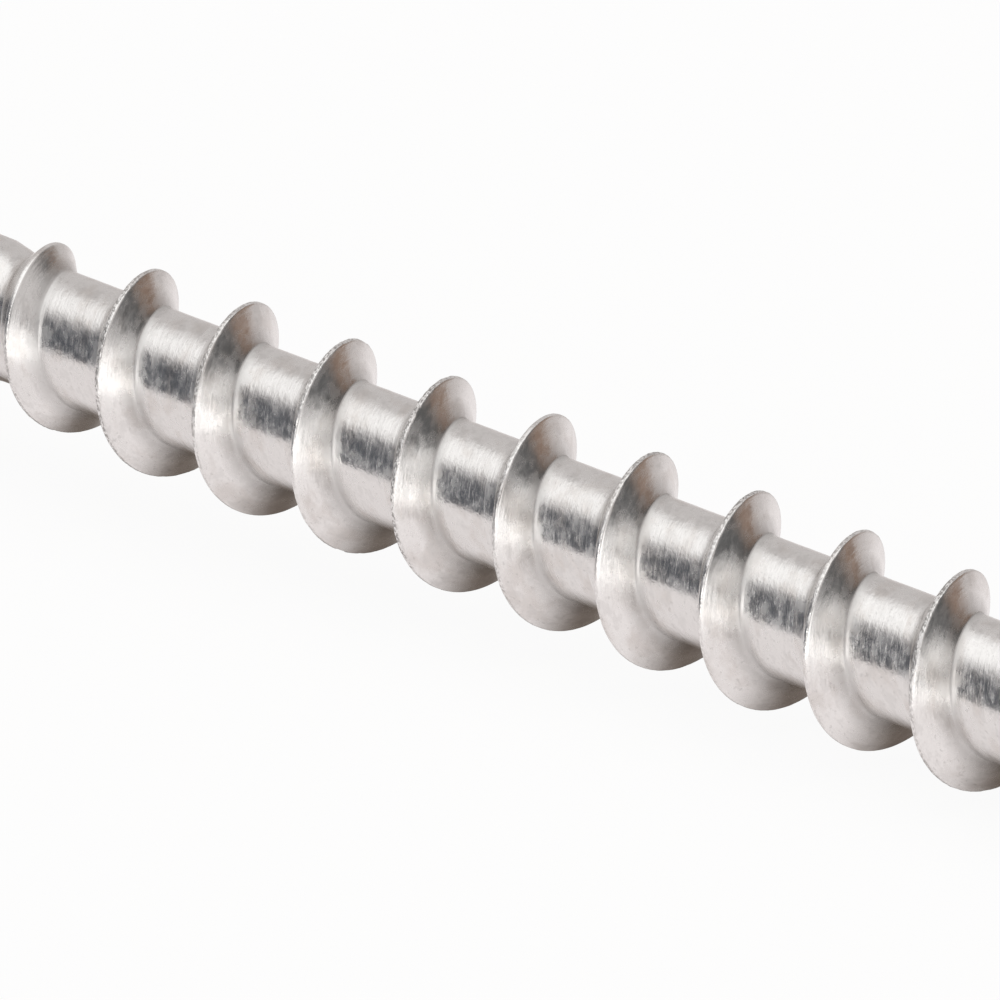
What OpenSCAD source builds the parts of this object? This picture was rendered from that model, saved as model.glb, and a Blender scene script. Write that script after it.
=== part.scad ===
// Deck screw in one piece: bugle head with a six-lobe recess, plain shank, coarse
// right-hand thread and a sharp point. It lies at rest along X, with its tip to +X,
// on the rim of its head and the last full crest of its thread.

/* [Lengths] */
// From the top of the head to the first trace of the thread
plain_length = 24; // [16:1:60]
// From the first trace of the thread to the tip
thread_length = 52; // [26:1:80]

/* [Head and shank] */
// Diameter of the head
head_d = 9.4; // [9:0.1:11]
// Height of the head, from its top to the plain shank
head_h = 4.8; // [4.5:0.1:7]
// Height of the straight rim
rim_h = 0.45; // [0.3:0.05:0.7]
// Bevel on the top edge of the rim
rim_bevel = 0.12; // [0.05:0.01:0.2]
// Diameter of the plain shank
shank_d = 3.6; // [3.4:0.05:4.2]

/* [Drive recess] */
// Diameter across the lobes
lobe_d = 4.5; // [4.1:0.1:4.6]
// Diameter between opposite valleys
valley_d = 3.2; // [2.8:0.1:3.4]
// Radius of each lobe's round end
lobe_r = 0.37; // [0.3:0.01:0.42]
// Depth of the straight walls
recess_depth = 2; // [1.4:0.1:2.1]
// Diameter of the conical bottom
recess_cone_d = 3; // [2:0.1:3]
// Depth of the conical bottom
recess_cone_h = 0.5; // [0.2:0.05:0.6]

/* [Thread] */
// Diameter over the crests
major_d = 4.95; // [4.6:0.05:5.8]
// Diameter of the root between the turns
root_d = 3.15; // [2.8:0.05:3.3]
// Axial distance from turn to turn
pitch = 3.1; // [2.8:0.1:3.8]
// Width of the flat crest
crest_land = 0.1; // [0.06:0.01:0.25]
// Angle of the flank that faces the tip, from square to the axis
tip_flank = 29; // [20:1:34]
// Angle of the flank that faces the head, from square to the axis
head_flank = 33; // [20:1:38]
// Radius where each flank meets the root
root_fillet = 0.25; // [0.1:0.01:0.3]
// Turns over which the crest rises from the shank to its full height
runout_turns = 3; // [1:0.1:4]
// From the first trace of the thread to the shoulder, where the shank tapers to the root
shoulder_gap = 1.4; // [0.5:0.1:3]
// Length of the shoulder
shoulder_length = 1.2; // [0.6:0.1:2.5]
// Turn of the whole thread about the axis of the screw
thread_turn = 337.5; // [0:11.25:348.75]

/* [Point] */
// Included angle of the conical point
point_angle = 28; // [24:1:40]
// Turns over which the crest falls towards the tip
point_turns = 2.2; // [1:0.1:3]
// Length between the foot of the last turn and the tip
tip_gap = 0.25; // [0.15:0.05:1]

/* [Hidden] */
$fn = 96;

// Flat sides around one turn of the thread
steps = 32;
// How far the threaded length runs into the end of the shank, and how far under its surface
seam = 0.6;
skin = 0.01;
// How far a cut runs out past the face that it opens
cut_over = 1;

screw_length = plain_length + thread_length;
head_r = head_d / 2;
shank_r = shank_d / 2;
shank_core_r = shank_r - skin;
root_r = root_d / 2;
crest_r = major_d / 2;
depth = crest_r - root_r;

// Underside of the head: one concave arc from the rim, tangent to the shank
bugle_r = ((head_r - shank_r) ^ 2 + (head_h - rim_h) ^ 2) / (2 * (head_r - shank_r));

// Outline of the recess: round lobes and valleys by turns, each arc tangent to the next
lobe_count = 6;
half_lobe_turn = 180 / lobe_count;
lobe_at = lobe_d / 2 - lobe_r;
valley_bottom = valley_d / 2;
valley_r = (lobe_r ^ 2 - lobe_at ^ 2 - valley_bottom ^ 2 + 2 * lobe_at * valley_bottom * cos(half_lobe_turn))
    / (2 * (valley_bottom - lobe_at * cos(half_lobe_turn) - lobe_r));
valley_at = valley_bottom + valley_r;
lobe_half_arc = atan2(valley_at * sin(half_lobe_turn), valley_at * cos(half_lobe_turn) - lobe_at);
valley_half_arc = lobe_half_arc - half_lobe_turn;
lobe_sides = 8;
valley_sides = 6;
function arc_point(axis_turn, distance, r, turn) = [
    distance * cos(axis_turn) + r * cos(axis_turn + turn),
    distance * sin(axis_turn) + r * sin(axis_turn + turn)
];
six_lobe_outline = [
    for (lobe = [0:lobe_count - 1]) let (lobe_turn = 2 * lobe * half_lobe_turn) each concat(
        [for (side = [0:lobe_sides])
            arc_point(lobe_turn, lobe_at, lobe_r, lobe_half_arc * (2 * side / lobe_sides - 1))],
        [for (side = [1:valley_sides - 1])
            arc_point(lobe_turn + half_lobe_turn, valley_at, valley_r,
                180 - valley_half_arc * (2 * side / valley_sides - 1))]
    )
];

// Section of one turn, as [distance from the crest towards the tip, share of the full depth]
function fillet_height(flank) = root_fillet * (1 - sin(flank));
function flank_foot_at(flank) = crest_land / 2 + (depth - fillet_height(flank)) * tan(flank);
function root_at(flank) = flank_foot_at(flank) + root_fillet * cos(flank);
function flank_foot(flank) = [flank_foot_at(flank), fillet_height(flank) / depth];
function fillet_middle(flank) =
    let (half_arc = (90 - flank) / 2)
    [root_at(flank) - root_fillet * sin(half_arc), root_fillet * (1 - cos(half_arc)) / depth];
function headward(point) = [-point[0], point[1]];

section = [
    headward([root_at(head_flank), 0]),
    headward(fillet_middle(head_flank)),
    headward(flank_foot(head_flank)),
    [-crest_land / 2, 1],
    [crest_land / 2, 1],
    flank_foot(tip_flank),
    fillet_middle(tip_flank),
    [root_at(tip_flank), 0],
    [(root_at(tip_flank) + pitch - root_at(head_flank)) / 2, 0]
];
rows_per_turn = len(section);

// The last crest stands just behind the tip. The turns are counted back from it to one
// that lies wholly on the plain shank
shoulder_start = plain_length + shoulder_gap;
last_crest = screw_length - tip_gap - root_at(tip_flank);
plain_crest = min(plain_length, shoulder_start - pitch + root_at(head_flank));
turns = ceil((last_crest - plain_crest) / pitch);
first_crest = last_crest - turns * pitch;
shank_end = first_crest - root_at(head_flank) - seam / 2;

function clamp01(x) = max(0, min(1, x));
function ease(x) = x * x * (3 - 2 * x);

// Radius along the axis of the shank, shoulder and root, and of the same with the point
function body_r(z) =
    shank_core_r - (shank_core_r - root_r) * ease(clamp01((z - shoulder_start) / shoulder_length));
function core_r(z) = min(body_r(z), (screw_length - z) * tan(point_angle / 2));

// Height of the crest above the body at a place along the axis
function rise(z) = sin(90 * clamp01((z - plain_length) / (runout_turns * pitch)));
function fall(z) = clamp01((last_crest - z) / (point_turns * pitch));
function crest_height(z) = (shank_core_r + (crest_r - shank_core_r) * rise(z) - body_r(z)) * fall(z);

function around(step, r, z) = [r * cos(360 * step / steps), r * sin(360 * step / steps), z];
function thread_point(step, row) =
    let (
        place = section[row % rows_per_turn],
        crest = first_crest + pitch * (floor(row / rows_per_turn) + step / steps),
        z = crest + place[0]
    )
    around(step, core_r(z) + place[1] * crest_height(crest), z);

// Rows run along the axis. The rows of step 0 go on for one more turn, because each turn
// closes onto the start of the next
last_row = turns * rows_per_turn - 2;
side_rows = last_row + 1;
seam_rows = side_rows + rows_per_turn;
ring_start = seam_rows + (steps - 1) * side_rows;
apex = ring_start + steps;
function at(step, row) =
    step == 0 ? row
    : step == steps ? row + rows_per_turn
    : seam_rows + (step - 1) * side_rows + row;

thread_points = concat(
    [for (row = [0:seam_rows - 1]) thread_point(0, row)],
    [for (step = [1:steps - 1], row = [0:last_row]) thread_point(step, row)],
    [for (step = [0:steps - 1]) around(step, shank_core_r, shank_end - seam)],
    [[0, 0, screw_length]]
);

turn_faces = [
    for (step = [0:steps - 1], row = [0:last_row - 1]) each [
        [at(step, row), at(step, row + 1), at(step + 1, row + 1)],
        [at(step, row), at(step + 1, row + 1), at(step + 1, row)]
    ]
];
// From the ring inside the shank to the first row, which climbs by one pitch around it
last_ring = ring_start + steps - 1;
start_faces = concat(
    [[for (step = [0:steps - 1]) ring_start + step]],
    [for (step = [0:steps - 2]) each [
        [ring_start + step, at(step, 0), at(step + 1, 0)],
        [ring_start + step, at(step + 1, 0), ring_start + step + 1]
    ]],
    [for (row = [0:rows_per_turn - 1]) [last_ring, at(0, row + 1), at(0, row)]],
    [[last_ring, at(steps - 1, 0), at(steps, 0)], [last_ring, at(0, 0), ring_start]]
);
// From the last row to the tip
point_faces = concat(
    [for (step = [1:steps - 1]) [at(step, last_row), apex, at(step + 1, last_row)]],
    [for (row = [last_row:last_row + rows_per_turn - 1]) [at(1, last_row), at(0, row), at(0, row + 1)]],
    [[at(1, last_row), at(steps, last_row), apex]]
);

module blank_profile() {
    difference() {
        polygon([
            [0, 0], [head_r - rim_bevel, 0], [head_r, rim_bevel], [head_r, head_h], [0, head_h]
        ]);
        translate([shank_r + bugle_r, head_h]) circle(r = bugle_r);
    }
    translate([0, head_h]) square([shank_r, shank_end - head_h]);
}

module drive_recess() {
    translate([0, 0, -cut_over]) linear_extrude(recess_depth + cut_over) polygon(six_lobe_outline);
    translate([0, 0, recess_depth]) cylinder(h = recess_cone_h, d1 = recess_cone_d, d2 = 0);
}

module head_and_shank() {
    difference() {
        rotate_extrude() blank_profile();
        drive_recess();
    }
}

module thread_and_point() {
    rotate([0, 0, thread_turn])
        polyhedron(points = thread_points, faces = concat(turn_faces, start_faces, point_faces));
}

// At rest the screw dips until the first of its downward crests meets the surface
function down_crest(turn) = first_crest + pitch * (turn - thread_turn / 360);
rest_slope = min([
    for (turn = [1:turns])
        let (crest = down_crest(turn), z = crest + crest_land / 2)
        (head_r - core_r(z) - crest_height(crest)) / (z - rim_h)
]);
rest_dip = atan(rest_slope);
rest_height = rim_h * sin(rest_dip) + head_r * cos(rest_dip);
rest_middle = (screw_length * cos(rest_dip) - (head_r - rim_bevel) * sin(rest_dip)) / 2;

module screw() {
    color("gainsboro")
        translate([-rest_middle, 0, rest_height]) rotate([0, 90 + rest_dip, 0]) {
            head_and_shank();
            thread_and_point();
        }
}

screw();
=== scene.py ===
"""A deck screw lying on a pale floor, seen close up along its thread."""

import math

import bpy
import numpy as np
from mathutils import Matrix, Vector


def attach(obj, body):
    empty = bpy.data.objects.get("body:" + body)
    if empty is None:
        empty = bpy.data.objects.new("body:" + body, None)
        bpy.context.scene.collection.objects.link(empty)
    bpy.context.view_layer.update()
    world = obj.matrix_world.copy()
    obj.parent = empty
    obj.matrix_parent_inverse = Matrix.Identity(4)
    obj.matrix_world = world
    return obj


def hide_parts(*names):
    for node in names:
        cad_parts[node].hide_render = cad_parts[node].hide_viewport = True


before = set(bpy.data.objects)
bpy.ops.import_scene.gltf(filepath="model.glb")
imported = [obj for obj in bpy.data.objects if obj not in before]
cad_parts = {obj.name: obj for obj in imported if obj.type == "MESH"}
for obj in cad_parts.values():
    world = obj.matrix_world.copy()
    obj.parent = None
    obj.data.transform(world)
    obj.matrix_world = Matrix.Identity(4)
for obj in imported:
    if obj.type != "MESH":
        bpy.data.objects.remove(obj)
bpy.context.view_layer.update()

MM = 0.001
MICRON = 1e-6

# Sizes of the screw in mm, as in the part
PLAIN_LENGTH = 24.0
THREAD_LENGTH = 52.0
HEAD_R = 4.7
HEAD_H = 4.8
RIM_H = 0.45
RIM_BEVEL = 0.12
SHANK_R = 1.8
RECESS_DEPTH = 2.0
RECESS_CONE_R = 1.5
RECESS_CONE_H = 0.5
LOBE_D = 4.5
VALLEY_D = 3.2
LOBE_R = 0.37
LOBE_COUNT = 6
CREST_R = 2.475
ROOT_R = 1.575
PITCH = 3.1
CREST_LAND = 0.1
TIP_FLANK = math.radians(29.0)
HEAD_FLANK = math.radians(33.0)
ROOT_FILLET = 0.25
RUNOUT_TURNS = 3.0
SHOULDER_GAP = 1.4
SHOULDER_LENGTH = 1.2
THREAD_TURN = math.radians(337.5)
POINT_ANGLE = math.radians(28.0)
POINT_TURNS = 2.2
TIP_GAP = 0.25

# The finer mesh, which stands for the part's: its steps around the screw, then sizes in mm
STEPS = 192
# Rounding of the crest's two edges, depth of its nicks, and how far the edges waver
CREST_ROUND = 0.035
CREST_NICK = 0.026
CREST_WAVER = 0.010
# Rounding where each flank meets the root
CORNER_ROUND = 0.08
# The gentle slope that rolling leaves on the root beside the corner, and the low ridge after it
ROOT_SLOPE = math.radians(4.5)
SLOPE_WIDTH = 0.2
RIDGE_WIDTH = 0.1
RIDGE_HEIGHT = 0.004
# Rows along the plain middle of the root
ROOT_ROWS = 2
# Chamfer at the mouth of the recess, and a narrow strip that keeps the rim's shading flat
RECESS_CHAMFER = 0.06
RIM_STRIP = 0.05
# Rings along the curved underside of the head, and from there to the end of the shank
BUGLE_RINGS = 16
SHANK_RINGS = 6
# From the last ring of the shank to the first row of the thread
SHANK_END_GAP = 0.3
# Seed of the random wear along the crest
WEAR_SEED = 5
# Edges that turn by more than this stay sharp
SHARP_ANGLE = math.radians(40)

# The photograph's camera, in mm: where it stands, what it aims at along the screw, and its lens
CAMERA_AZIMUTH = math.radians(38.6)
CAMERA_ELEVATION = math.radians(25.3)
CAMERA_DISTANCE = 297.54
CAMERA_AIM_ALONG = 43.156
CAMERA_AIM_RIGHT = -1.169
CAMERA_AIM_UP = 0.493
CAMERA_LENS = 447.67
CAMERA_SENSOR = 36.0
CAMERA_CLIP_START = 10.0

# The steel on the flanks and crest of the thread, and elsewhere
BRIGHT_STEEL = (0.855, 0.845, 0.835, 1)
PLAIN_STEEL = (0.76, 0.75, 0.74, 1)
# What dulls it: stains, blotches and pits
STAIN = (0.60, 0.56, 0.53, 1)
BLOTCH = (0.60, 0.59, 0.58, 1)
PIT = (0.42, 0.41, 0.40, 1)
# Painted shade for the root corners and the feet of the flanks
ROOT_SHADE = (0.40, 0.39, 0.38, 1)
# The worn crest: painted shade in the hollows of its chips, and bare metal
CHIP_HOLLOW_SHADE = (0.20, 0.19, 0.18, 1)
CHIP_BARE = (0.80, 0.79, 0.78, 1)

# The floor: half its width in metres, its paper and the white that the camera sees, and what the
# metal mirrors of it: a painted shadow in a strip under the screw, and the floor elsewhere
FLOOR_HALF = 3.0
PAPER = (0.85, 0.83, 0.82, 1)
WHITE = (1, 1, 1, 1)
MIRRORED_SHADOW_STRIP = (0.15, 0.12, 0.10, 1)
MIRRORED_FLOOR = (0.98, 0.93, 0.925, 1)
# In mm: the painted shadow's middle, and how far aside of it the floor begins to clear and is clear
STRIP_MIDDLE = 0.6
STRIP_DARK = 0.2
STRIP_CLEAR = 2.7
# Farther back, painted shade darkens the mirrored floor between these places in mm, down to this
# share
BACK_START = 6.0
BACK_END = 40.0
BACK_SHARE = 0.55
# How much of these plain colours the metal and the camera see in place of the lit paper
METAL_SHARE = 0.9
CAMERA_SHARE = 0.93

# The studio's walls and lights
WALL = (0.66, 0.63, 0.62, 1)
OVERHEAD = (1.30, 1.29, 1.28, 1)
SHADED_WALL = (0.36, 0.35, 0.35, 1)
LOW_LIGHT = (1.50, 1.47, 1.45, 1)
TALL_LIGHT = (2.90, 2.85, 2.80, 1)
FRONT_SCREEN = (0.10, 0.105, 0.12, 1)
BACK_SCREEN = (0.12, 0.12, 0.12, 1)
BROWN_SCREEN = (0.30, 0.215, 0.17, 1)

SCREW_LENGTH = PLAIN_LENGTH + THREAD_LENGTH
DEPTH = CREST_R - ROOT_R
SHOULDER_START = PLAIN_LENGTH + SHOULDER_GAP


def root_at(flank):
    """Distance along the axis from the middle of the crest to where the part's root begins."""
    foot_height = ROOT_FILLET * (1 - math.sin(flank))
    foot_at = CREST_LAND / 2 + (DEPTH - foot_height) * math.tan(flank)
    return foot_at + ROOT_FILLET * math.cos(flank)


LAST_CREST = SCREW_LENGTH - TIP_GAP - root_at(TIP_FLANK)
PLAIN_CREST = min(PLAIN_LENGTH, SHOULDER_START - PITCH + root_at(HEAD_FLANK))
TURNS = math.ceil((LAST_CREST - PLAIN_CREST) / PITCH)
FIRST_CREST = LAST_CREST - TURNS * PITCH
SHANK_END = FIRST_CREST - root_at(HEAD_FLANK) - SHANK_END_GAP


def body_radius(z):
    """Radius of shank, shoulder and root at z mm along the axis."""
    x = np.clip((z - SHOULDER_START) / SHOULDER_LENGTH, 0, 1)
    return SHANK_R - (SHANK_R - ROOT_R) * x * x * (3 - 2 * x)


def core_radius(z):
    """Radius of the body or of the conical point, whichever is less."""
    return np.minimum(body_radius(z), (SCREW_LENGTH - z) * math.tan(POINT_ANGLE / 2))


def crest_height(z):
    """Height of the crest above the body at z mm along the axis."""
    rise = np.sin(np.pi / 2 * np.clip((z - PLAIN_LENGTH) / (RUNOUT_TURNS * PITCH), 0, 1))
    fall = np.clip((LAST_CREST - z) / (POINT_TURNS * PITCH), 0, 1)
    return (SHANK_R + (CREST_R - SHANK_R) * rise - body_radius(z)) * fall


def half_section(flank, slope, ridge, corner_shading, edge_wear):
    """One side of a turn, in rows from the root to the crest.

    A row holds the distance from the middle of the crest, the height above the root, wear,
    painted shade (which also dulls the gloss) and polish. The root beside the corner, the corner
    and the foot of the flank take painted shade in the share given after ridge, and edge_wear gives
    the wear of the rows around the crest's edge.
    """
    steep = math.pi / 2 - flank
    rise = SLOPE_WIDTH * math.tan(slope) / 2
    arc_height = rise + CORNER_ROUND * math.cos(slope)
    foot_height = arc_height - CORNER_ROUND * math.cos(steep)
    foot_at = CREST_LAND / 2 + (DEPTH - foot_height) * math.tan(flank)
    arc_at = foot_at + CORNER_ROUND * math.sin(steep)
    root = arc_at - CORNER_ROUND * math.sin(slope)
    rows = [
        (root + SLOPE_WIDTH + RIDGE_WIDTH, 0.0, 0.0, 0.0, 0.0),
        (root + SLOPE_WIDTH, ridge, 0.0, 0.1 * corner_shading, 0.0),
        (root + SLOPE_WIDTH / 2, rise / 4, 0.0, 0.3 * corner_shading, 0.0),
    ]
    for share, shade_and_dulling in ((0, 0.8), (0.5, 1), (1, 1)):
        turn = slope + share * (steep - slope)
        height = arc_height - CORNER_ROUND * math.cos(turn)
        rows.append((arc_at - CORNER_ROUND * math.sin(turn), height, 0.0, shade_and_dulling * corner_shading, share))
    foot = np.array(rows[-1][:2])

    edge_at = CREST_LAND / 2 - CREST_ROUND * math.tan(steep / 2)
    edge = []
    for turn, wear in zip(np.linspace(steep, 0, len(edge_wear)), edge_wear):
        height = DEPTH - CREST_ROUND * (1 - math.cos(turn))
        edge.append((edge_at + CREST_ROUND * math.sin(turn), height, wear, 0.0, 1.0))
    shoulder = np.array(edge[0][:2])
    for share, wear, shade_and_dulling in ((0.1, 0, 0.9 * corner_shading), (0.5, 0, 0), (0.95, edge_wear[0] / 4, 0)):
        x, height = foot + (shoulder - foot) * share
        rows.append((x, height, wear, shade_and_dulling, 1.0))
    return rows + edge


def turn_section():
    """One turn of the thread from root to root, as the columns of half_section's rows."""
    headward = half_section(
        HEAD_FLANK, slope=0.0, ridge=0.0, corner_shading=0.3, edge_wear=(0.7, 0.9, 0.9)
    )
    tipward = half_section(
        TIP_FLANK, slope=ROOT_SLOPE, ridge=RIDGE_HEIGHT, corner_shading=1.0, edge_wear=(0.2, 0.6, 0.9)
    )
    rows = [(-x, *rest) for x, *rest in headward] + tipward[::-1]
    start, end = rows[-1][0], PITCH + rows[0][0]
    rows += [(x, 0.0, 0.0, 0.0, 0.0) for x in np.linspace(start, end, ROOT_ROWS + 2)[1:-1]]
    return np.array(rows).T


def crest_wear():
    """Along the thread, step by step: nicks and both edges' waver in mm, and share of wear."""
    generator = np.random.default_rng(WEAR_SEED)
    count = (TURNS + 1) * STEPS + 1

    def waves(spacing):
        """From -1 to 1, with a new random value after every so many steps."""
        knots = generator.uniform(-1, 1, count // spacing + 2)
        return np.interp(np.arange(count) / spacing, np.arange(len(knots)), knots)

    def waver():
        return CREST_WAVER * share * (0.6 * waves(3) + 0.4 * waves(8))

    share = np.clip(0.65 + 0.75 * waves(40), 0.25, 1)
    nicks = CREST_NICK * share * (0.5 * np.abs(waves(1)) + np.clip(3 * waves(3) - 2, 0, 1))
    return nicks, waver(), waver(), share


def laid(points):
    """Turns points from the screw's own axis to where it lies, in metres."""
    slopes = []
    for turn in range(1, TURNS + 1):
        crest = FIRST_CREST + PITCH * (turn - THREAD_TURN / math.tau)
        z = crest + CREST_LAND / 2
        slopes.append((HEAD_R - core_radius(z) - crest_height(crest)) / (z - RIM_H))
    dip = math.atan(min(slopes))
    sin, cos = math.sin(dip), math.cos(dip)
    middle = (SCREW_LENGTH * cos - (HEAD_R - RIM_BEVEL) * sin) / 2
    height = RIM_H * sin + HEAD_R * cos
    x, y, z = np.asarray(points).T
    return np.stack([z * cos - x * sin - middle, y, height - x * cos - z * sin], axis=1) * MM


class MeshBuilder:
    """Collects points on the screw's own axis with their surface, faces, and UVs in mm."""

    def __init__(self):
        self.points = []
        self.wear = []
        self.shade_and_dulling = []
        self.polish = []
        self.faces = []
        self.uvs = []

    def add_points(self, points, wear=0.0, shade_and_dulling=0.0, polish=0.0):
        start = len(self.points)
        self.points.extend(points)
        self.wear.extend(np.broadcast_to(wear, len(points)))
        self.shade_and_dulling.extend(np.broadcast_to(shade_and_dulling, len(points)))
        self.polish.extend(np.broadcast_to(polish, len(points)))
        return start

    def add_face(self, corners, uvs):
        self.faces.append(corners)
        self.uvs.extend(uvs)


def ring_points(radius, z):
    """A ring at z mm along the axis, of one radius or of one for every step."""
    angles = np.arange(STEPS) * math.tau / STEPS + THREAD_TURN
    radii = np.broadcast_to(radius, STEPS)
    return [(r * math.cos(a), r * math.sin(a), z) for r, a in zip(radii, angles)]


def add_band(mesh, lower, upper, v_lower, v_upper, u_radius):
    """Faces between two rings, with U around the axis and V along it."""
    for step in range(STEPS):
        after = (step + 1) % STEPS
        u0, u1 = (s * math.tau / STEPS * u_radius for s in (step, step + 1))
        corners = (lower + step, upper + step, upper + after, lower + after)
        mesh.add_face(corners, [(u0, v_lower), (u0, v_upper), (u1, v_upper), (u1, v_lower)])


def recess_radius():
    """Radius of the recess's outline at every step around the screw."""
    half_turn = math.pi / LOBE_COUNT
    lobe_at = LOBE_D / 2 - LOBE_R
    valley_bottom = VALLEY_D / 2
    reach = lobe_at * math.cos(half_turn)
    valley_r = (LOBE_R**2 - lobe_at**2 - valley_bottom**2 + 2 * valley_bottom * reach) / (
        2 * (valley_bottom - reach - LOBE_R)
    )
    valley_at = valley_bottom + valley_r
    radii = []
    for step in range(STEPS):
        angle = step * math.tau / STEPS + THREAD_TURN
        from_lobe = (angle + half_turn) % (2 * half_turn) - half_turn
        from_valley = half_turn - abs(from_lobe)
        lobe = LOBE_R**2 - (lobe_at * math.sin(from_lobe)) ** 2
        valley = valley_r**2 - (valley_at * math.sin(from_valley)) ** 2
        on_lobe = lobe_at * math.cos(from_lobe) + math.sqrt(max(lobe, 0))
        in_valley = valley_at * math.cos(from_valley) - math.sqrt(max(valley, 0))
        radii.append(on_lobe if lobe > 0 and on_lobe > in_valley else in_valley)
    return np.array(radii)


def add_head_and_shank(mesh):
    """Rings from the bottom of the recess over the head and down the shank.

    Returns the first point of the last ring, and V there.
    """
    outline = recess_radius()
    mouth = outline + RECESS_CHAMFER
    face_edge = HEAD_R - RIM_BEVEL
    rings = [
        (RECESS_CONE_R * 0.5, RECESS_DEPTH + RECESS_CONE_H * 0.5),
        (RECESS_CONE_R, RECESS_DEPTH),
        (outline, RECESS_DEPTH),
        (outline, RECESS_DEPTH / 2),
        (outline, RECESS_CHAMFER),
        (mouth, 0.0),
        (mouth * 0.67 + face_edge * 0.33, 0.0),
        (mouth * 0.33 + face_edge * 0.67, 0.0),
        (face_edge, 0.0),
        (HEAD_R, RIM_BEVEL),
        (HEAD_R, RIM_H - RIM_STRIP),
    ]
    bugle_r = ((HEAD_R - SHANK_R) ** 2 + (HEAD_H - RIM_H) ** 2) / (2 * (HEAD_R - SHANK_R))
    sweep = math.asin((HEAD_H - RIM_H) / bugle_r)
    for angle in np.linspace(sweep, 0, BUGLE_RINGS):
        z = HEAD_H - bugle_r * math.sin(angle)
        rings.append((SHANK_R + bugle_r * (1 - math.cos(angle)), max(z, RIM_H)))
    for z in np.linspace(HEAD_H, SHANK_END, SHANK_RINGS)[1:]:
        rings.append((SHANK_R, z))

    pole = mesh.add_points([(0.0, 0.0, RECESS_DEPTH + RECESS_CONE_H)])
    first = mesh.add_points(ring_points(*rings[0]))
    for step in range(STEPS):
        mesh.add_face((pole, first + step, first + (step + 1) % STEPS), [(0, 0), (0, 1), (1, 1)])
    lower, travelled = first, 0.0
    for (r0, z0), (r1, z1) in zip(rings, rings[1:]):
        upper = mesh.add_points(ring_points(r1, z1))
        gone = travelled + math.hypot(np.mean(r1) - np.mean(r0), z1 - z0)
        u_radius = (SHANK_R + HEAD_R) / 2 if z1 < HEAD_H else SHANK_R
        add_band(mesh, lower, upper, travelled, gone, u_radius)
        lower, travelled = upper, gone
    return lower, travelled


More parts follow.
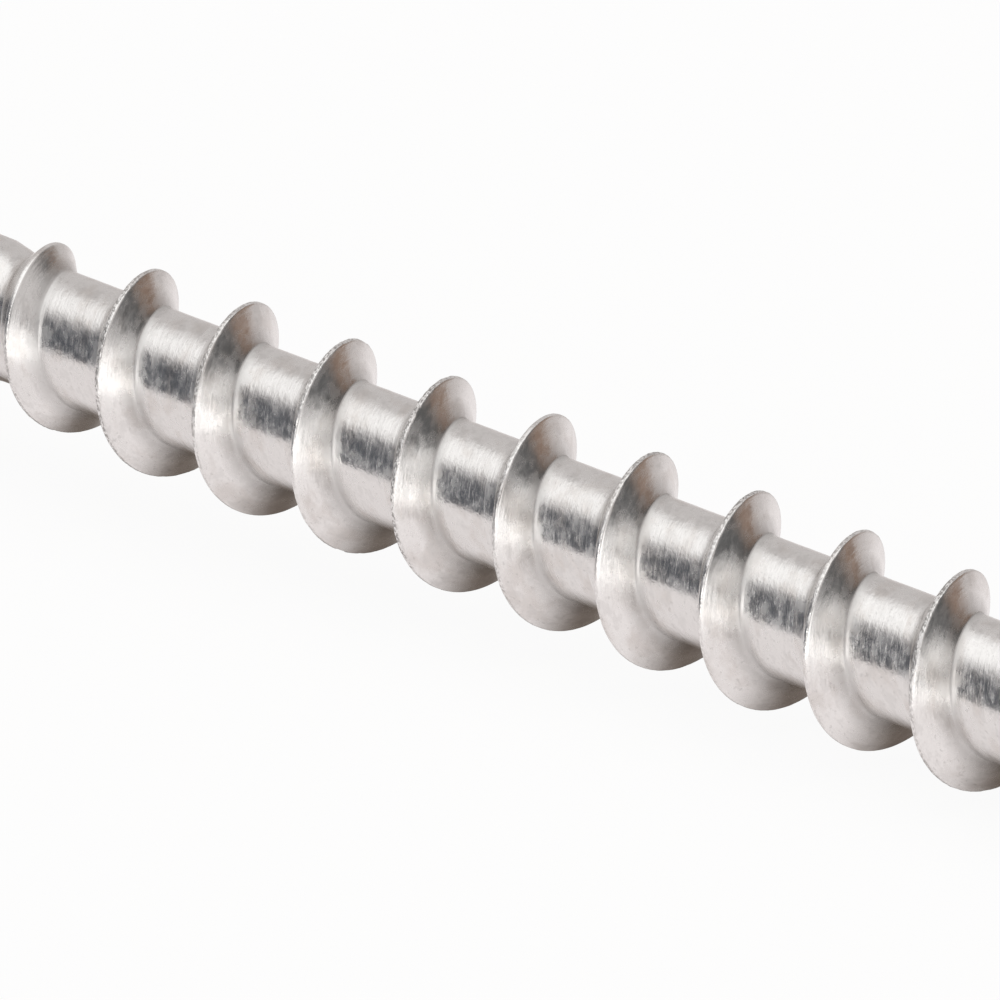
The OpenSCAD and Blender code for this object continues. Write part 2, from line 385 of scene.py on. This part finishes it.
def add_thread(mesh, ring, ring_v):
    """The helical rows, joined to the shank's last ring and closed at the tip.

    The rows of step 0 go on for one more turn, because each turn closes onto the start of the
    next.
    """
    distances, heights, wear, shade_and_dulling, polish = turn_section()
    nicks, head_edge, tip_edge, share = crest_wear()
    per_turn = len(distances)
    rows = TURNS * per_turn - ROOT_ROWS
    seam_rows = rows + per_turn
    across = np.concatenate([[0], np.cumsum(np.hypot(np.diff(distances), np.diff(heights)))])
    across = np.append(across, across[-1] + PITCH + distances[0] - distances[-1])
    around = math.tau * (ROOT_R + CREST_R) / 2

    def add_rows(step, count):
        """One step's points from the first row on. The turns grow and fade along the screw."""
        row = np.arange(count)
        place = row % per_turn
        along = row // per_turn * STEPS + step
        crest = FIRST_CREST + PITCH * along / STEPS
        growth = crest_height(crest) / DEPTH
        shown = np.clip(growth, 0, 1)
        worn = wear[place] * shown
        edge = np.where(distances[place] < 0, head_edge[along], tip_edge[along])
        z = crest + distances[place] + worn * edge
        r = core_radius(z) + heights[place] * growth - worn * nicks[along]
        angle = step * math.tau / STEPS + THREAD_TURN
        points = np.stack([r * math.cos(angle), r * math.sin(angle), z], axis=1).tolist()
        surface = (worn * share[along], shade_and_dulling[place] * shown, polish[place] * shown)
        return mesh.add_points(points, *surface)

    starts = [add_rows(0, seam_rows)]
    starts += [add_rows(step, rows) for step in range(1, STEPS)]
    apex = mesh.add_points([(0.0, 0.0, SCREW_LENGTH)])

    def at(step, row):
        """A row's point. After the last step comes step 0, one turn on."""
        return starts[0] + row + per_turn if step == STEPS else starts[step] + row

    for step in range(STEPS):
        for row in range(rows - 1):
            corners = (at(step, row), at(step, row + 1), at(step + 1, row + 1), at(step + 1, row))
            turn, place = divmod(row, per_turn)
            u0, u1 = ((turn + s / STEPS) * around for s in (step, step + 1))
            v0, v1 = across[place : place + 2]
            mesh.add_face(corners, [(u0, v0), (u0, v1), (u1, v1), (u1, v0)])

    def shank_uv(step, z):
        """U around and V along, as on the shank."""
        return (step * math.tau / STEPS * SHANK_R, ring_v + z - SHANK_END)

    def row_z(step, row):
        """Where a row lies along the axis, in mm."""
        turn, place = divmod(row, per_turn)
        return FIRST_CREST + PITCH * (turn + step / STEPS) + distances[place]

    # From the last ring of the shank to the first row, which climbs by one pitch around it
    for step in range(STEPS - 1):
        uvs = [shank_uv(step, SHANK_END), shank_uv(step, row_z(step, 0))]
        uvs += [shank_uv(step + 1, row_z(step + 1, 0)), shank_uv(step + 1, SHANK_END)]
        mesh.add_face((ring + step, at(step, 0), at(step + 1, 0), ring + step + 1), uvs)
    last, last_uv = ring + STEPS - 1, shank_uv(STEPS - 1, SHANK_END)
    uvs = [last_uv, shank_uv(STEPS - 1, row_z(STEPS - 1, 0)), shank_uv(STEPS, row_z(STEPS, 0))]
    mesh.add_face((last, at(STEPS - 1, 0), at(STEPS, 0)), uvs)
    for row in range(per_turn):
        uvs = [last_uv, shank_uv(STEPS, row_z(0, row + 1)), shank_uv(STEPS, row_z(0, row))]
        mesh.add_face((last, at(0, row + 1), at(0, row)), uvs)
    uvs = [last_uv, shank_uv(STEPS, row_z(0, 0)), shank_uv(STEPS, SHANK_END)]
    mesh.add_face((last, at(0, 0), ring), uvs)

    # From the last row to the tip
    end = rows - 1
    for step in range(1, STEPS):
        uvs = [shank_uv(step, row_z(step, end)), shank_uv(step, SCREW_LENGTH)]
        uvs.append(shank_uv(step + 1, row_z(step + 1, end)))
        mesh.add_face((at(step, end), apex, at(step + 1, end)), uvs)
    end_uv = shank_uv(1, row_z(1, end))
    for row in range(end, end + per_turn):
        uvs = [end_uv, shank_uv(0, row_z(0, row)), shank_uv(0, row_z(0, row + 1))]
        mesh.add_face((at(1, end), at(0, row), at(0, row + 1)), uvs)
    uvs = [end_uv, shank_uv(0, row_z(STEPS, end)), shank_uv(0, SCREW_LENGTH)]
    mesh.add_face((at(1, end), at(STEPS, end), apex), uvs)


def build_screw():
    """The screw as one mesh, with UVs along the grain and its surface's wear, painted shade and
    polish.
    """
    builder = MeshBuilder()
    add_thread(builder, *add_head_and_shank(builder))
    mesh = bpy.data.meshes.new("deck_screw")
    mesh.from_pydata(laid(builder.points).tolist(), [], builder.faces)
    layer = mesh.uv_layers.new(name="grain")
    layer.data.foreach_set("uv", np.array(builder.uvs, dtype=np.float32).ravel())
    for name in ("wear", "shade_and_dulling", "polish"):
        attribute = mesh.attributes.new(name, "FLOAT", "POINT")
        attribute.data.foreach_set("value", np.array(getattr(builder, name), dtype=np.float32))
    mesh.shade_smooth()
    mesh.set_sharp_from_angle(angle=SHARP_ANGLE)
    screw = bpy.data.objects.new("deck_screw", mesh)
    bpy.context.collection.objects.link(screw)
    return screw


class Nodes:
    """Short calls for building a node tree."""

    def __init__(self, tree):
        self.tree = tree
        tree.nodes.clear()

    def add(self, kind, inputs=(), **settings):
        """A node with its settings, and its inputs as values or as sockets to link."""
        node = self.tree.nodes.new(kind)
        for name, value in settings.items():
            setattr(node, name, value)
        for name, value in dict(inputs).items():
            if isinstance(value, bpy.types.NodeSocket):
                self.tree.links.new(value, node.inputs[name])
            else:
                node.inputs[name].default_value = value
        return node

    def math(self, operation, a, b=0.0):
        return self.add("ShaderNodeMath", {0: a, 1: b}, operation=operation).outputs[0]

    def ramp(self, value, low, high, to_low=0.0, to_high=1.0):
        """Smooth step of value from low to high, onto to_low to to_high."""
        limits = {"From Min": low, "From Max": high, "To Min": to_low, "To Max": to_high}
        inputs = {"Value": value, **limits}
        node = self.add("ShaderNodeMapRange", inputs, interpolation_type="SMOOTHSTEP")
        return node.outputs["Result"]

    def band(self, value, low, high, soft):
        """1 from low to high, falling to 0 over soft on either side."""
        rise = self.ramp(value, low - soft, low + soft)
        return self.math("MULTIPLY", rise, self.ramp(value, high - soft, high + soft, 1.0, 0.0))

    def mix(self, factor, a, b):
        node = self.add("ShaderNodeMix", {"Factor": factor, 6: a, 7: b}, data_type="RGBA")
        return node.outputs[2]

    def grain(self, along, across, detail, slice_at):
        """Noise with so many features per mm along the thread and across it."""
        grain = self.add("ShaderNodeUVMap", uv_map="grain").outputs[0]
        inputs = {0: grain, 1: (along, across, 0), 2: (0, 0, slice_at)}
        place = self.add("ShaderNodeVectorMath", inputs, operation="MULTIPLY_ADD").outputs[0]
        noise = self.add("ShaderNodeTexNoise", {"Vector": place, "Scale": 1.0, "Detail": detail})
        return noise.outputs["Fac"]

    def attribute(self, name):
        return self.add("ShaderNodeAttribute", attribute_name=name).outputs["Fac"]

    def sum(self, *terms):
        """Sum of (value, weight) pairs."""
        total = 0.0
        for value, weight in terms:
            inputs = {0: value, 1: weight, 2: total}
            total = self.add("ShaderNodeMath", inputs, operation="MULTIPLY_ADD").outputs[0]
        return total


def steel_material():
    """Rolled steel: streaks along the thread, blotches, pits, stains, a worn crest, and painted
    shade in the root corners and the crest's chips.
    """
    material = bpy.data.materials.new("steel")
    material.use_nodes = True
    n = Nodes(material.node_tree)
    streaks = n.grain(along=1.6, across=15.0, detail=1.0, slice_at=1.5)
    blotches = n.grain(along=2.6, across=4.5, detail=3.0, slice_at=7.5)
    pits = n.grain(along=9.0, across=11.0, detail=2.0, slice_at=13.5)
    chips = n.grain(along=16.0, across=20.0, detail=1.0, slice_at=5.5)
    stains = n.grain(along=1.1, across=1.6, detail=3.0, slice_at=19.5)
    wear = n.attribute("wear")
    shade_and_dulling = n.attribute("shade_and_dulling")
    polish = n.attribute("polish")

    # Height in microns. The thread's flanks are smoother than the rest
    worn_chips = n.math("MULTIPLY", chips, wear)
    rolled = n.ramp(polish, 0.0, 1.0, 1.0, 0.45)
    height = n.sum((streaks, 3.2), (blotches, 5.5), (pits, 3.0))
    height = n.sum((n.math("MULTIPLY", height, rolled), 1.0), (worn_chips, 22.0))
    bump = n.add("ShaderNodeBump", {"Height": height, "Distance": MICRON})

    # The painted shade's mask also dulls the gloss, more in the corner than on the foot of the
    # flank
    base_roughness = n.ramp(blotches, 0.35, 0.65, 0.17, 0.28)
    dulled = n.math("MULTIPLY", shade_and_dulling, n.ramp(polish, 0.4, 1.0, 0.28, 0.06))
    roughness = n.sum((wear, 0.20), (dulled, 1.0), (base_roughness, 1.0))

    colour = n.mix(polish, PLAIN_STEEL, BRIGHT_STEEL)
    colour = n.mix(n.ramp(stains, 0.46, 0.70, 0.0, 0.5), colour, STAIN)
    colour = n.mix(n.ramp(blotches, 0.50, 0.34, 0.0, 0.35), colour, BLOTCH)
    colour = n.mix(n.ramp(pits, 0.38, 0.26, 0.0, 0.3), colour, PIT)
    # Painted shade darkens the root corners and the feet of the flanks
    colour = n.mix(n.math("MULTIPLY", shade_and_dulling, 0.55), colour, ROOT_SHADE)
    # Worn chips on the crest, with painted shade in their hollows
    chipped_with_shade = n.mix(n.ramp(chips, 0.42, 0.58), CHIP_HOLLOW_SHADE, CHIP_BARE)
    colour = n.mix(n.math("MULTIPLY", wear, 0.8), colour, chipped_with_shade)
    shader = n.add(
        "ShaderNodeBsdfPrincipled",
        {"Base Color": colour, "Metallic": 1.0, "Roughness": roughness, "Normal": bump.outputs[0]},
    )
    n.add("ShaderNodeOutputMaterial", {"Surface": shader.outputs[0]})
    return material


def floor_material():
    """Pale paper that the camera sees as almost plain white, with a faint shadow left.

    The metal mirrors it as nearly white too, but with a painted shadow in a strip under the screw
    and painted shade farther back.
    """
    material = bpy.data.materials.new("floor")
    material.use_nodes = True
    n = Nodes(material.node_tree)
    place = n.add("ShaderNodeNewGeometry").outputs["Position"]
    across = n.add("ShaderNodeSeparateXYZ", {0: place}).outputs["Y"]
    # A painted shadow under the screw, in a strip that only the metal mirrors
    aside = n.math("ABSOLUTE", n.math("SUBTRACT", across, STRIP_MIDDLE * MM))
    clear = n.ramp(aside, STRIP_DARK * MM, STRIP_CLEAR * MM)
    # Painted shade on the mirrored floor, farther back
    behind = n.ramp(across, BACK_START * MM, BACK_END * MM, 1.0, BACK_SHARE)
    mirrored_colour = n.mix(n.math("MULTIPLY", clear, behind), MIRRORED_SHADOW_STRIP, MIRRORED_FLOOR)
    paper = n.add("ShaderNodeBsdfDiffuse", {"Color": PAPER})
    white = n.add("ShaderNodeEmission", {"Color": WHITE, "Strength": 1.0})
    mirrored = n.add("ShaderNodeEmission", {"Color": mirrored_colour, "Strength": 1.0})
    path = n.add("ShaderNodeLightPath").outputs
    reflected = n.math("MAXIMUM", path["Is Glossy Ray"], path["Is Transmission Ray"])
    to_metal = n.math("MULTIPLY", reflected, METAL_SHARE)
    to_camera = n.math("MULTIPLY", path["Is Camera Ray"], CAMERA_SHARE)
    floor = n.add("ShaderNodeMixShader", {0: to_metal, 1: paper.outputs[0], 2: mirrored.outputs[0]})
    floor = n.add("ShaderNodeMixShader", {0: to_camera, 1: floor.outputs[0], 2: white.outputs[0]})
    n.add("ShaderNodeOutputMaterial", {"Surface": floor.outputs[0]})
    return material


def build_floor():
    mesh = bpy.data.meshes.new("floor")
    sides = ((-1, -1), (1, -1), (1, 1), (-1, 1))
    mesh.from_pydata([(x * FLOOR_HALF, y * FLOOR_HALF, 0) for x, y in sides], [], [(0, 1, 2, 3)])
    mesh.materials.append(floor_material())
    floor = bpy.data.objects.new("floor", mesh)
    bpy.context.collection.objects.link(floor)


def build_world():
    """A studio: soft light overhead and low in front, a grey wall, and dark screens."""
    world = bpy.data.worlds.new("studio")
    bpy.context.scene.world = world
    world.use_nodes = True
    n = Nodes(world.node_tree)
    coordinates = n.add("ShaderNodeTexCoord")
    direction = n.add("ShaderNodeSeparateXYZ", {0: coordinates.outputs["Generated"]})
    x, y, z = (direction.outputs[name] for name in "XYZ")
    # In degrees: azimuth from the front towards +X, and elevation above the floor
    azimuth = n.math("DEGREES", n.math("ARCTAN2", x, n.math("MULTIPLY", y, -1.0)))
    elevation = n.math("DEGREES", n.math("ARCSINE", z))

    def screen(azimuth_at, elevation_at, half_width, half_height):
        """1 inside an oval with soft edges, given in degrees."""
        across = n.math("DIVIDE", n.math("SUBTRACT", azimuth, azimuth_at), half_width)
        above = n.math("DIVIDE", n.math("SUBTRACT", elevation, elevation_at), half_height)
        squares = n.math("ADD", n.math("POWER", across, 2.0), n.math("POWER", above, 2.0))
        return n.ramp(n.math("SQRT", squares), 0.6, 1.3, 1.0, 0.0)

    def panel(left, right, soft, height):
        """1 between two azimuths, as far as height says."""
        return n.math("MULTIPLY", n.band(azimuth, left, right, soft), height)

    shade = panel(-4.0, 84.0, soft=10.0, height=n.band(elevation, 27.0, 52.0, 5.0))
    low_light = panel(-22.0, 100.0, soft=5.0, height=n.ramp(elevation, 20.0, 28.0, 1.0, 0.0))
    tall_light = panel(-22.0, -4.0, soft=5.0, height=n.ramp(elevation, 40.0, 50.0, 1.0, 0.0))
    colour = n.mix(n.ramp(elevation, 44.0, 60.0), WALL, OVERHEAD)
    colour = n.mix(shade, colour, SHADED_WALL)
    colour = n.mix(low_light, colour, LOW_LIGHT)
    colour = n.mix(tall_light, colour, TALL_LIGHT)
    colour = n.mix(screen(-47.0, 17.0, 26.0, 31.0), colour, FRONT_SCREEN)
    colour = n.mix(screen(139.0, 12.0, 38.0, 18.0), colour, BACK_SCREEN)
    colour = n.mix(screen(158.0, 4.0, 16.0, 14.0), colour, BROWN_SCREEN)
    background = n.add("ShaderNodeBackground", {"Color": colour, "Strength": 1.0})
    n.add("ShaderNodeOutputWorld", {"Surface": background.outputs[0]})


def build_camera():
    """The photograph's view: from the front right, above, through a long lens."""
    toward = Vector((
        math.cos(CAMERA_ELEVATION) * math.sin(CAMERA_AZIMUTH),
        -math.cos(CAMERA_ELEVATION) * math.cos(CAMERA_AZIMUTH),
        math.sin(CAMERA_ELEVATION),
    ))
    turn = toward.to_track_quat("Z", "Y")
    on_axis = Vector(laid([(0.0, 0.0, CAMERA_AIM_ALONG)])[0])
    aside = turn @ Vector((CAMERA_AIM_RIGHT, CAMERA_AIM_UP, 0)) * MM
    data = bpy.data.cameras.new("camera")
    data.lens = CAMERA_LENS
    data.sensor_width = CAMERA_SENSOR
    data.clip_start = CAMERA_CLIP_START * MM
    camera = bpy.data.objects.new("camera", data)
    camera.location = on_axis + aside + toward * CAMERA_DISTANCE * MM
    camera.rotation_mode = "QUATERNION"
    camera.rotation_quaternion = turn
    bpy.context.collection.objects.link(camera)
    bpy.context.scene.camera = camera


screw = build_screw()
screw.data.materials.append(steel_material())
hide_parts("screw")
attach(screw, "root")
build_floor()
build_world()
build_camera()
bpy.context.scene.view_settings.view_transform = "Standard"
